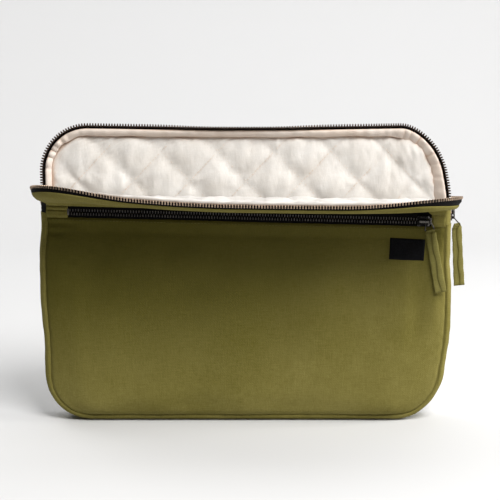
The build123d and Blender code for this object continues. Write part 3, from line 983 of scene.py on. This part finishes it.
def make_pocket_lining():
    """The pocket's inner wall, hanging a little slack."""
    low, high = box_mm("pocket_lining")
    top = lambda x: crease_height(x) - BEND - 1
    x, z = panel_grid(SEAM_INSET + 1.5, None, top, 60, 36)
    slack = 0.7 * waves(x, z, 60, 71) - 0.7
    near = np.minimum(half_width(z, SEAM_INSET + 1.5) - np.abs(x), z - SEAM_INSET)
    front = points_at(x, low[1] + slack * ease(near, 0, 30), z)
    back = front + np.array([0, high[1] - low[1], 0])
    piece = make_layer("pocket_cotton", front, back, slump, POCKETING)
    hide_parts("pocket_lining")
    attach(piece, "case")


# ---- main zip


def splay(x):
    """How far the flap's zip tape lies out flat: 0 at the corners and 1 in the middle."""
    return 1 - ease(np.abs(x + 4), 95, 178)


def tape_line(x):
    """The flap's tape in section, as (out, y) pairs.

    They are its seam, its bend, where its row of teeth starts and the way that the row points."""
    share = splay(x)
    first = np.radians(mix(40.0, 60.0, share))
    second = np.radians(mix(4.0, 36.0, share))
    seam = points_at(0 * x - SEAM_INSET, FRONT + 0.7)
    reach = mix(7.4, 6.4, share)[:, None]
    bend = seam + reach * points_at(np.sin(first), np.cos(first))
    way = points_at(np.sin(second), np.cos(second))
    tip = bend + mix(2.4, 1.9, share)[:, None] * way
    return seam, bend, tip, way


def rear_tape_line(x):
    """The rear tape in section: square to the back in its middle, turned outward elsewhere."""
    out = ease(np.abs(x + 4), 25, 110)
    angle = np.radians(mix(8.0, 62.0, out))
    seam = points_at(0 * x - SEAM_INSET, BACK - 0.7)
    bend = points_at(mix(-1.2, -3.2, out), mix(6.0, 7.2, out))
    way = points_at(np.sin(angle), -np.cos(angle))
    return seam, bend, bend + 2.7 * way, way


def make_tape(name, line, bend_points, nodes, flap):
    """A main zip's tape: a thin ribbed band from its seam to the row of teeth."""
    places, route = edge_route(True, LEFT_END, RIGHT_END, 3.0)
    seam, bend, tip, way = line(route[:, 0])
    half = 0.3
    path = [seam, mix(seam, bend, 0.5), bend, tip, tip + (2.2 if flap else 0.4) * way]
    sides = []
    for i in range(len(path)):
        ahead = unit(path[min(i + 1, 4)] - path[max(i - 1, 0)])
        sides.append(points_at(ahead[:, 1], -ahead[:, 0]) * half)
    upper = [p + s for p, s in zip(path, sides)]
    lower = [p - s for p, s in zip(path, sides)]
    sections = np.stack(upper + lower[::-1], axis=1)
    piece = make_band(name, places, route, sections, bend_points, TAPE_CLOTH, 2.2)
    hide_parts(*nodes)
    if flap:
        blend_flap(piece)
    else:
        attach(piece, "case")


def make_flap_hem():
    """The flap's canvas turned over its zip tape, nearly up to the teeth."""
    left = crease_height(-EDGE) + 3
    places, route = edge_route(True, left, RIGHT_END, 2.5)
    x, z = route[:, 0], route[:, 1]
    seam, bend, _, _ = tape_line(x)
    run = unit(bend - seam)
    out = points_at(run[:, 1], -run[:, 0])
    bare = ease(x, 150, 192) * ease(z, crease_height(x) + 6, crease_height(x) + 20)
    cover = 1 - 0.45 * bare - 0.1 * ease(-x, 150, 192)
    last = mix(seam, bend, (cover * 0.94)[:, None])
    roll = 0.12 * waves(places, places * 0, 26, 85)[:, None] + 0.08 * np.sin(places / 2.1)[:, None]
    root = points_at(0 * x - SEAM_INSET - 2.0, FRONT + 0.3)
    outer = [root, root + np.array([2.4, -0.3])]
    for share, thick in ((0.22, 1.05), (0.55, 1.25 + roll), (0.88, 1.05 + roll), (1.0, 0.75)):
        outer.append(mix(seam, last, share) + out * thick)
    inner = [last + out * 0.36, mix(seam, last, 0.5) + out * 0.34]
    inner.append(seam + out * 0.34 + np.array([-0.3, 0.3]))
    sections = np.stack(outer + inner, axis=1)
    piece = make_band("flap_hem", places, route, sections, fold, CANVAS_CLOTH, 1.9, sharp=80)
    blend_flap(piece)


def tooth_block():
    """One tooth about its own middle: (along, across, through), with bevelled edges."""
    half = np.array([0.68, 1.3, CHAIN / 2])
    bevel = 0.24
    points = []
    for sign in itertools.product((-1, 1), repeat=3):
        for axis in range(3):
            corner = sign * (half - bevel)
            corner[axis] = sign[axis] * half[axis]
            points.append(corner)
    points = np.array(points)
    nose = ease(-points[:, 1], 0.2, 1.3)
    points[:, 0] *= 1 - 0.3 * nose
    shape = bmesh.new()
    for p in points:
        shape.verts.new(p)
    bmesh.ops.convex_hull(shape, input=shape.verts)
    bmesh.ops.dissolve_limit(shape, angle_limit=0.02, verts=shape.verts, edges=shape.edges)
    shape.verts.index_update()
    block = np.array([v.co for v in shape.verts])
    faces = [[v.index for v in f.verts] for f in shape.faces]
    shape.free()
    return block, faces


TOOTH_POINTS, TOOTH_FACES = tooth_block()


def make_teeth(name, centres, along, across, material, bend, width=1.0):
    """A row of teeth. Every tooth has its middle and two of its directions."""
    through = np.cross(along, across)
    local = TOOTH_POINTS * np.array([width, 1, 1])
    points = (
        centres[:, None]
        + local[None, :, 0, None] * along[:, None]
        + local[None, :, 1, None] * across[:, None]
        + local[None, :, 2, None] * through[:, None]
    )
    size = len(local)
    faces = [[k * size + i for i in f] for k in range(len(centres)) for f in TOOTH_FACES]
    return make_piece(name, bend(points.reshape(-1, 3)), faces, material, sharp=25)


def main_row(name, line, bend, flap, nodes):
    """One of the main zip's rows, at the edge of its tape. The flap's is half a tooth along."""
    _, route = edge_route(True, LEFT_END + 5.0, RIGHT_END + 3.5, TOOTH_PITCH)
    if flap:
        route = (route[1:] + route[:-1]) / 2
    _, _, tip, way = line(route[:, 0])
    centre = tip + way * (TOOTH_REACH / 2)
    outward = unit(points_at(route[:, 2], 0, route[:, 3]))
    deeper = np.array([[0.0, 1.0, 0.0]])
    middle = points_at(route[:, 0], 0, route[:, 1])
    centres = middle + outward * centre[:, :1] + deeper * centre[:, 1:]
    across = -(outward * way[:, :1] + deeper * way[:, 1:])
    along = np.cross(outward, deeper)
    # the rear row takes the darker copy of the copper, painted shade
    metal = BROWN_METAL if flap else COPPER_PAINTED_SHADE
    row = make_teeth(name, centres, along, across, metal, bend, 1.0 if flap else 1.2)
    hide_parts(*nodes)
    if flap:
        blend_flap(row)
    else:
        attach(row, "case")


def make_main_zip():
    make_tape("rear_zip_tape", rear_tape_line, sag, ["main_zip_tape_rear"], False)
    front_tapes = ["main_zip_tape_front", "main_zip_tape_front_ends"]
    make_tape("flap_zip_tape", tape_line, fold, front_tapes, True)
    make_flap_hem()
    main_row("rear_zip_teeth", rear_tape_line, sag, False, ["main_zip_teeth_rear"])
    front_teeth = ["main_zip_teeth_front", "main_zip_teeth_front_ends"]
    main_row("flap_zip_teeth", tape_line, fold, True, front_teeth)


# places along the mouth's edge, and how deep the binding is tucked there, judged one by one
BINDING_TUCKS = [
    (40, 0.5), (52, 0.8), (60, 1.0), (66, 0.7), (75, 1.0), (83, 0.5),
    (97, 0.35), (196, 0.15), (300, 0.2), (352, 0.25), (398, 0.4), (412, 0.8),
    (421, 0.6), (433, 1.0), (442, 0.6), (455, 0.9), (467, 0.6), (482, 0.5),
]


def make_rear_binding():
    """Cream binding over the raw seam inside the mouth, puckered at the corners."""
    places, route = edge_route(True, LEFT_END, RIGHT_END, 2.0)
    corner = np.minimum(np.abs(route[:, 2]), np.abs(route[:, 3])) * 2
    top = ease(route[:, 3], 0.5, 1.0)
    gather = corner * np.sin(places / 3.3 + 1.5 * np.sin(places / 17))
    wander = 0.35 * waves(places, places * 0, 45, 81) + 0.5 * gather
    tucks = sum(size * bell(places, place, 1.7) for place, size in BINDING_TUCKS)
    full = 1 + 0.10 * waves(places, places * 0, 14, 82) + 0.12 * gather
    outline = [(-3.4, 7.0), (-3.2, 5.4), (-4.1, 4.2), (-5.3, 4.0), (-7.0, 4.7), (-8.8, 5.8)]
    outline += [(-9.9, 7.3), (-9.8, 8.8), (-9.2, 9.8), (-7.6, 9.6), (-5.4, 8.6)]
    sections = []
    deep = ease(route[:, 0], 125, 172) * (0.8 + 0.2 * np.sin(places / 7))
    for out, y in outline:
        proud = (9.0 - y) / 5.0
        low = (-3.4 - out) / 6.5
        inner = max(low - 0.55, 0) * 2.2
        sections.append(points_at(
            out + low * (wander - 0.9 * top + 0.7) + 0.5 * tucks * low - 5.0 * deep * inner,
            9.0 - 5.0 * proud * full + 2.3 * tucks * max(proud, 0) + 3.4 * deep * inner,
        ))
    sections = np.stack(sections, axis=1)
    piece = make_band("rear_binding_tape", places, route, sections, sag, BINDING, 1.8)
    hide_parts("rear_binding")
    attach(piece, "case")


def make_flap_binding():
    """The flap's cream binding: a rolled edge behind the teeth."""
    places, route = edge_route(True, crease_height(-EDGE) + 2, crease_height(EDGE) + 2, 2.5)
    share = splay(route[:, 0])
    gather = 0.12 * np.sin(places / 2.6) + 0.2 * waves(places, places * 0, 30, 83)
    start = points_at(mix(-9.0, -8.4, share), mix(-10.6, -9.6, share))
    end = points_at(mix(-3.2, -1.5, share) + gather, mix(-7.6, -7.7, share) + gather)
    radius = mix(1.4, 1.6, share) + 0.1 * np.sin(places / 2.3)
    sections = capsule(start, end, radius)
    piece = make_band("flap_binding_tape", places, route, sections, fold, FLAP_BINDING_PAINTED_SHADE, 1.3)
    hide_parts("flap_binding")
    blend_flap(piece)


# ---- pocket zip


def zip_place(along, up, deep):
    """A place on the pocket zip: along it, up from its middle, and deep behind the front."""
    x = along * math.cos(ZIP_TILT) - up * math.sin(ZIP_TILT)
    z = ZIP_HEIGHT + along * math.sin(ZIP_TILT) + up * math.cos(ZIP_TILT)
    return points_at(x, FRONT + deep, z)


def make_pocket_tape(name, node, low, high, spare=0):
    """One of the pocket zip's tapes, a little wavy, with spare cloth where the canvas gapes."""
    along = np.linspace(-POCKET_TAPE_END, POCKET_TAPE_END, 130)
    u, share = np.meshgrid(along, np.linspace(0, 1, 5))
    v = mix(low, high + spare * gape(u), share)
    ripple = 0.18 * waves(u, v * 0, 33, 91)
    front = zip_place(u, v, 1.25 + ripple)
    back = zip_place(u, v, 1.8 + ripple)
    piece = make_layer(name, front, back, unbent, TAPE_CLOTH)
    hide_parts(node)
    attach(piece, "case")


def make_pocket_row(name, node, side, shift, middle, deep):
    """One of the pocket zip's rows of teeth, whose noses reach between the other row's."""
    first, last = POCKET_ROW
    spots = np.arange(first + shift, last, TOOTH_PITCH)
    centres = zip_place(spots, middle, deep + CHAIN / 2)
    along = np.tile([math.cos(ZIP_TILT), 0, math.sin(ZIP_TILT)], (len(spots), 1))
    across = side * np.tile([-math.sin(ZIP_TILT), 0, math.cos(ZIP_TILT)], (len(spots), 1))
    row = make_teeth(name, centres, along, across, DARK_METAL, unbent, 0.72)
    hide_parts(node)
    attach(row, "case")


def make_end_tab(name, node, fold_lines):
    """Canvas over an end of the pocket zip, with pleats across it."""
    low, high = box_mm(node)
    half = 5.2
    u, v = np.meshgrid(np.linspace(low[0], high[0], 26), np.linspace(-half, half, 21))
    pleats = sum(0.9 * bell(v, height, 0.8) for height in fold_lines)
    soft = 0.25 * waves(u, v, 9, 95)
    edge = np.minimum(np.minimum(u - low[0], high[0] - u), half - np.abs(v))
    roll = 0.6 * (1 - ease(edge, 0, 1.4))
    front = zip_place(u, v, pleats * ease(edge, 0, 2) + soft + roll - 0.35)
    back = zip_place(u, v, 1.15 + roll)
    piece = make_layer(name, front, back, unbent, CANVAS_CLOTH)
    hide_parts(node)
    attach(piece, "case")


def make_pocket_zip():
    make_pocket_tape("pocket_tape_upper", "pocket_zip_tape_upper", 0.3, 6.6, 1)
    make_pocket_tape("pocket_tape_lower", "pocket_zip_tape_lower", -9.6, -0.3)
    make_pocket_row("pocket_teeth_upper", "pocket_zip_teeth_upper", 1, 0.0, 1.6, 0.9)
    make_pocket_row("pocket_teeth_lower", "pocket_zip_teeth_lower", -1, TOOTH_PITCH / 2, -1.73, 0.3)
    make_end_tab("pocket_end_left", "pocket_zip_end_tab_left", (-4.6, 1.6))
    make_end_tab("pocket_end_right", "pocket_zip_end_tab_right", (-4.8, 4.4))


# ---- sliders, pulls and label


def dress_metal():
    """A metal finish for the sliders, rings and stops, which keep their CAD shapes.

    All but the rings, which are round wire, also get bevelled edges."""
    finishes = [(name, SLIDER_METAL) for name in ("pocket_slider", "main_slider")]
    finishes += [(name, SLIDER_METAL) for name in ("pocket_pull_ring", "main_pull_ring")]
    for zip_name, metal in (("main_zip", BROWN_METAL), ("pocket_zip", DARK_METAL)):
        finishes += [(f"{zip_name}_bottom_stop", metal), (f"{zip_name}_top_stops", metal)]
    for name, metal in finishes:
        node = frame["nodes"][name]
        node.data.materials.clear()
        node.data.materials.append(metal)
        if "ring" not in name:
            bevel = node.modifiers.new("edges", "BEVEL")
            bevel.width = 0.22 * MM
            bevel.segments = 2
            bevel.limit_method = "ANGLE"


def make_crown():
    """The main slider's domed crown, over its bridge's upper end."""
    low, high = box_mm("main_slider")
    around = np.linspace(0, 2 * math.pi, 16, endpoint=False)
    ring = points_at(1.85 * np.cos(around), 2.3 * np.sin(around), 0)
    sections = []
    for t in np.linspace(0, 1, 13):
        swell = math.sqrt(max(0.02, 1 - (2 * t - 1) ** 4))
        middle = (high[0] - 1.75, (low[1] + high[1]) / 2, mix(high[2] - 6.9, high[2] - 0.5, t))
        sections.append(middle + ring * swell)
    points, faces = band(np.array(sections))
    piece = make_piece("main_slider_crown", points, faces, SLIDER_METAL)
    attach(piece, "main_slider")


# a pull tab's section, from one side to the other over the front and back along the rear, as
# shares of half its width and of its thickness. It is folded in three, so it has a step
TAB_PROFILE = np.array([
    (-1.0, 0.0), (-0.98, 0.5), (-0.82, 0.8), (-0.5, 0.72), (-0.2, 0.35), (-0.04, 0.15),
    (0.0, 0.9), (0.07, 1.3), (0.2, 1.45), (0.5, 1.35), (0.8, 1.15), (0.96, 0.7),
    (1.0, 0.0), (0.97, -0.6), (0.6, -0.85), (0.0, -0.8), (-0.6, -0.85), (-0.97, -0.6),
])
TAB_LENGTH = 60.0
TAB_TOP = 1.25  # how far the loop stands above the bar's axis


def make_pull_tab(name, node, joint, body, across_start, across_end, swing, tip, seed, broad, shift):
    """A strip of canvas folded in three and looped round the ring's bar.

    It hangs swing degrees off plumb, and its foot comes forward by tip. Its width turns from
    across_start at the bar to across_end below it, where it is broad each side of a line that
    lies shift to the side of the bar."""
    eye = np.array(JOINTS[joint]["pos_m"]) / MM
    swing = math.radians(swing)
    down = unit(np.array((math.sin(swing), -tip, -math.cos(swing))))
    sides, heights = TAB_PROFILE[:, :1], TAB_PROFILE[:, 1]
    rows = []
    steps = np.linspace(0, 1, 46)
    for step in steps:
        far = -TAB_TOP + step * (TAB_LENGTH + TAB_TOP)
        turn = ease(far, 0.4, 5.0)
        across = mix(np.array(across_start, float), np.array(across_end, float), turn)
        across = unit(across - down * (across @ down))
        facing = np.cross(across, down)
        if facing[1] > 0 and turn > 0.5:
            facing = -facing
        half = mix(3.7, broad - 0.4, ease(far, 0, 3)) + 0.4 * ease(far, 20, 56)
        half += 0.14 * math.sin(far * 0.5 + seed) + 0.08 * math.sin(far * 2.4)
        thick = mix(1.15, 0.95, ease(far, 2, 12))
        if far < 1.2:
            thick = 1.25 * math.sqrt(max(0.05, 1 - ((far - 0.6) / 1.9) ** 2))
        end_fold = ease(far, TAB_LENGTH - 4.5, TAB_LENGTH - 3.6)
        thick *= 1 + 0.35 * end_fold - 0.75 * ease(far, TAB_LENGTH - 0.9, TAB_LENGTH)
        relief = np.where(heights > 0, mix(1.0, heights, turn * (1 - 0.5 * end_fold)), heights)
        relief[heights == 0] = 0
        bow = 0.3 * math.sin(far / TAB_LENGTH * 4 + seed)
        crease = 0.12 * math.sin(far * 0.23 + seed) * (1 - np.abs(sides))
        middle = eye + down * far + across * shift
        raised = relief[:, None] * thick + bow
        rows.append(middle + across * half * (sides + crease) + facing * raised)
    points, faces = band(np.array(rows))
    wrap = TAB_PROFILE[:, 0] * 5 + heights * 2
    u, v = np.meshgrid(steps * TAB_LENGTH, wrap, indexing="ij")
    piece = make_piece(name, points, faces, PULL_CLOTH, points_at(v, 0, u), sharp=70)
    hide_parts(node)
    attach(piece, body)


def make_pulls():
    across = (0.983, 0, 0.182)
    pocket = ("pocket_tab_canvas", "pocket_pull_tab", "pocket_tab_lift", "pocket_tab")
    make_pull_tab(*pocket, across, across, swing=10.5, tip=0.087, seed=0.6, broad=5.5, shift=0.4)
    main = ("main_tab_canvas", "main_pull_tab", "main_tab_lift", "main_tab")
    start, end = (0.8, 0.6, 0), (1, 0.12, 0)
    make_pull_tab(*main, start, end, swing=4.1, tip=0, seed=2.0, broad=5.3, shift=-2.8)


def surface_of(piece):
    """A way to look up where a piece's surface is."""
    places = [v.co.copy() for v in piece.data.vertices]
    return BVHTree.FromPolygons(places, [p.vertices[:] for p in piece.data.polygons])


def front_at(surface, x, z):
    """The y of a surface seen from the front, in millimetres."""
    hit = surface.ray_cast(Vector((x * MM, -0.2, z * MM)), Vector((0, 1, 0)))[0]
    return FRONT if hit is None else hit.y / MM


def seen_from_front(surface, x, z):
    """Where lines that start inside the mouth and run straight back meet a surface, if they do."""
    start = [Vector((a * MM, -0.004, b * MM)) for a, b in zip(x, z)]
    hits = [surface.ray_cast(place, Vector((0, 1, 0)))[0] for place in start]
    return np.array([(a, hit.y / MM, b) for a, b, hit in zip(x, z, hits) if hit is not None])


def make_label(surface):
    """A blank black woven label, its ends folded under."""
    low, high = box_mm("woven_label")
    centre = (low + high) / 2
    turn = math.radians(3.0)
    wide, tall = 16.5, 10
    u, v = np.meshgrid(np.linspace(-wide, wide, 34), np.linspace(-tall, tall, 21))
    x = centre[0] + u * math.cos(turn) + v * math.sin(turn)
    z = centre[2] - u * math.sin(turn) + v * math.cos(turn)
    skin = np.vectorize(lambda a, b: front_at(surface, a, b))(x, z)
    edge = np.minimum(wide - np.abs(u), tall - np.abs(v))
    proud = 0.35 + 0.5 * ease(edge, 0, 1.0) + 0.1 * waves(u, v, 13, 99)
    front = points_at(x, skin - proud, z)
    back = points_at(x, skin - 0.05, z)
    piece = make_layer("label_cloth", front, back, unbent, LABEL_CLOTH)
    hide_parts("woven_label")
    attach(piece, "case")


def stitch_row(name, route, material, length=2.3, gap=0.9, radius=0.2):
    """Separate stitches along a route in millimetres, each a small thread with sunk ends.

    They lie on a surface that faces the front."""
    forward = np.array([0.0, -1.0, 0.0])
    steps = np.linalg.norm(np.diff(route, axis=0), axis=1)
    marks = np.concatenate([[0], np.cumsum(steps)])
    lift = np.array([-0.6, 0.2, 0.45, 0.2, -0.6]) * radius * 2
    points, faces = [], []
    for start in np.arange(0.5, marks[-1] - length, length + gap):
        at = np.linspace(start, start + length, 5)
        centre = np.stack([np.interp(at, marks, route[:, i]) for i in range(3)], axis=1)
        side = np.cross(forward, unit(centre[-1] - centre[0]))
        base = len(points)
        for k in range(5):
            for a in np.linspace(0, 2 * math.pi, 6, endpoint=False):
                ring = side * math.cos(a) + forward * math.sin(a)
                points.append(centre[k] + forward * lift[k] + ring * radius)
        faces += grid_faces(5, 6, base, wrap=True)
        faces.append([base + i for i in range(6)][::-1])
        faces.append([base + 24 + i for i in range(6)])
    return make_piece(name, np.array(points), faces, material)


def make_stitching(surface):
    """Topstitching under the pocket zip."""
    x = np.linspace(-184, 184, 185)
    z = zip_height(x) - ZIP_WINDOW / 2 - 2.2
    y = np.array([front_at(surface, a, b) for a, b in zip(x, z)])
    piece = stitch_row("pocket_topstitch", points_at(x, y, z), THREAD)
    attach(piece, "case")


def make_quilt_stitching(piece):
    """Cream thread along the quilting lines of the back, where the mouth shows them."""
    surface = surface_of(piece)
    slope = np.array([math.sin(QUILT_SLOPE), math.cos(QUILT_SLOPE)])
    along = np.arange(-260, 261, 3.0)
    made = []
    for way in (1, -1):
        for number in range(-9, 14):
            x = number * QUILT_PITCH * slope[0] - along * slope[1]
            z = way * (number * QUILT_PITCH * slope[1] + along * slope[0])
            shown = (z > 150) & (z < 268) & (np.abs(x) < half_width(z, 16.0))
            route = seen_from_front(surface, x[shown], z[shown])
            if len(route) < 4:
                continue
            name = f"quilt_stitch_{len(made):02d}"
            made.append(stitch_row(name, route, CREAM_THREAD, 2.6, 1.0, 0.16))
    bpy.ops.object.select_all(action="DESELECT")
    for obj in made:
        obj.select_set(True)
    bpy.context.view_layer.objects.active = made[0]
    bpy.ops.object.join()
    made[0].name = "quilt_stitching"
    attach(made[0], "case")


# ---- studio


def make_floor():
    """A pale floor that curves up behind."""
    profile = [(-1.6, 0.0), (0.9, 0.0)]
    for angle in np.linspace(0, math.pi / 2, 14)[1:]:
        profile.append((0.9 + 0.7 * math.sin(angle), 0.7 - 0.7 * math.cos(angle)))
    profile.append((1.6, 3.2))
    rows = np.array([[(x, y, z) for x in np.linspace(-3.2, 3.2, 9)] for y, z in profile])
    mesh = bpy.data.meshes.new("studio_floor")
    mesh.from_pydata(rows.reshape(-1, 3).tolist(), [], grid_faces(len(profile), 9))
    mesh.shade_smooth()
    mesh.materials.append(studio_material("pale_paper", (0.617, 0.617, 0.622)))
    floor = bpy.data.objects.new("studio_floor", mesh)
    bpy.context.scene.collection.objects.link(floor)


def aim(obj, target):
    way = Vector(target) - obj.location
    obj.rotation_mode = "QUATERNION"
    obj.rotation_quaternion = way.to_track_quat("-Z", "Y")


def make_light(name, place, target, size, power, colour):
    data = bpy.data.lights.new(name, "AREA")
    data.shape = "RECTANGLE"
    data.size, data.size_y = size
    data.energy = power
    data.color = colour
    light = bpy.data.objects.new(name, data)
    bpy.context.scene.collection.objects.link(light)
    light.location = place
    aim(light, target)


def make_lights():
    make_light("key", (0.70, -1.16, 1.80), (0, 0, 0.1), (1.05, 1.05), 57, (1.0, 0.99, 0.97))
    make_light("side", (1.6, -0.02, 0.60), (0.1, 0, 0.12), (0.6, 0.6), 24, (1.0, 0.99, 0.97))
    make_light("left_rim", (-1.2, 0.9, 1.5), (-0.4, 0.05, 0), (1.0, 0.8), 11, (1.0, 0.985, 0.96))
    make_light("back_wash", (0.1, 0.7, 2.3), (0, 1.5, 0.7), (2.8, 1.2), 22, (0.97, 0.985, 1.0))
    world = bpy.data.worlds.new("studio")
    world.use_nodes = True
    sky = world.node_tree.nodes["Background"]
    sky.inputs["Color"].default_value = (0.96, 0.975, 1.0, 1.0)
    sky.inputs["Strength"].default_value = 0.04
    bpy.context.scene.world = world
    bpy.context.scene.view_settings.view_transform = "Standard"


def make_camera():
    """A little above the sleeve and nearly square to its front, as in the photograph."""
    elevation = math.radians(10.85)
    distance = 1.280
    target = Vector((0.00375, 0, 0.1663))
    data = bpy.data.cameras.new("camera")
    data.lens = 95.9
    data.clip_start = 0.05
    data.clip_end = 20
    camera = bpy.data.objects.new("camera", data)
    bpy.context.scene.collection.objects.link(camera)
    camera.location = target + distance * Vector((0, -math.cos(elevation), math.sin(elevation)))
    aim(camera, target)
    bpy.context.scene.camera = camera


# ---- the whole

make_camera()
make_lights()
make_floor()

front_canvas = make_front_canvas()
make_flap_canvas()
make_back_canvas()
make_gusset_canvas()
make_gusset_lining()
back_quilt = make_back_quilt()
make_front_quilt()
make_padding()
make_pocket_lining()
make_main_zip()
make_rear_binding()
make_flap_binding()
make_pocket_zip()
dress_metal()
make_crown()
make_pulls()
front_surface = surface_of(front_canvas)
make_label(front_surface)
make_stitching(front_surface)
make_quilt_stitching(back_quilt)
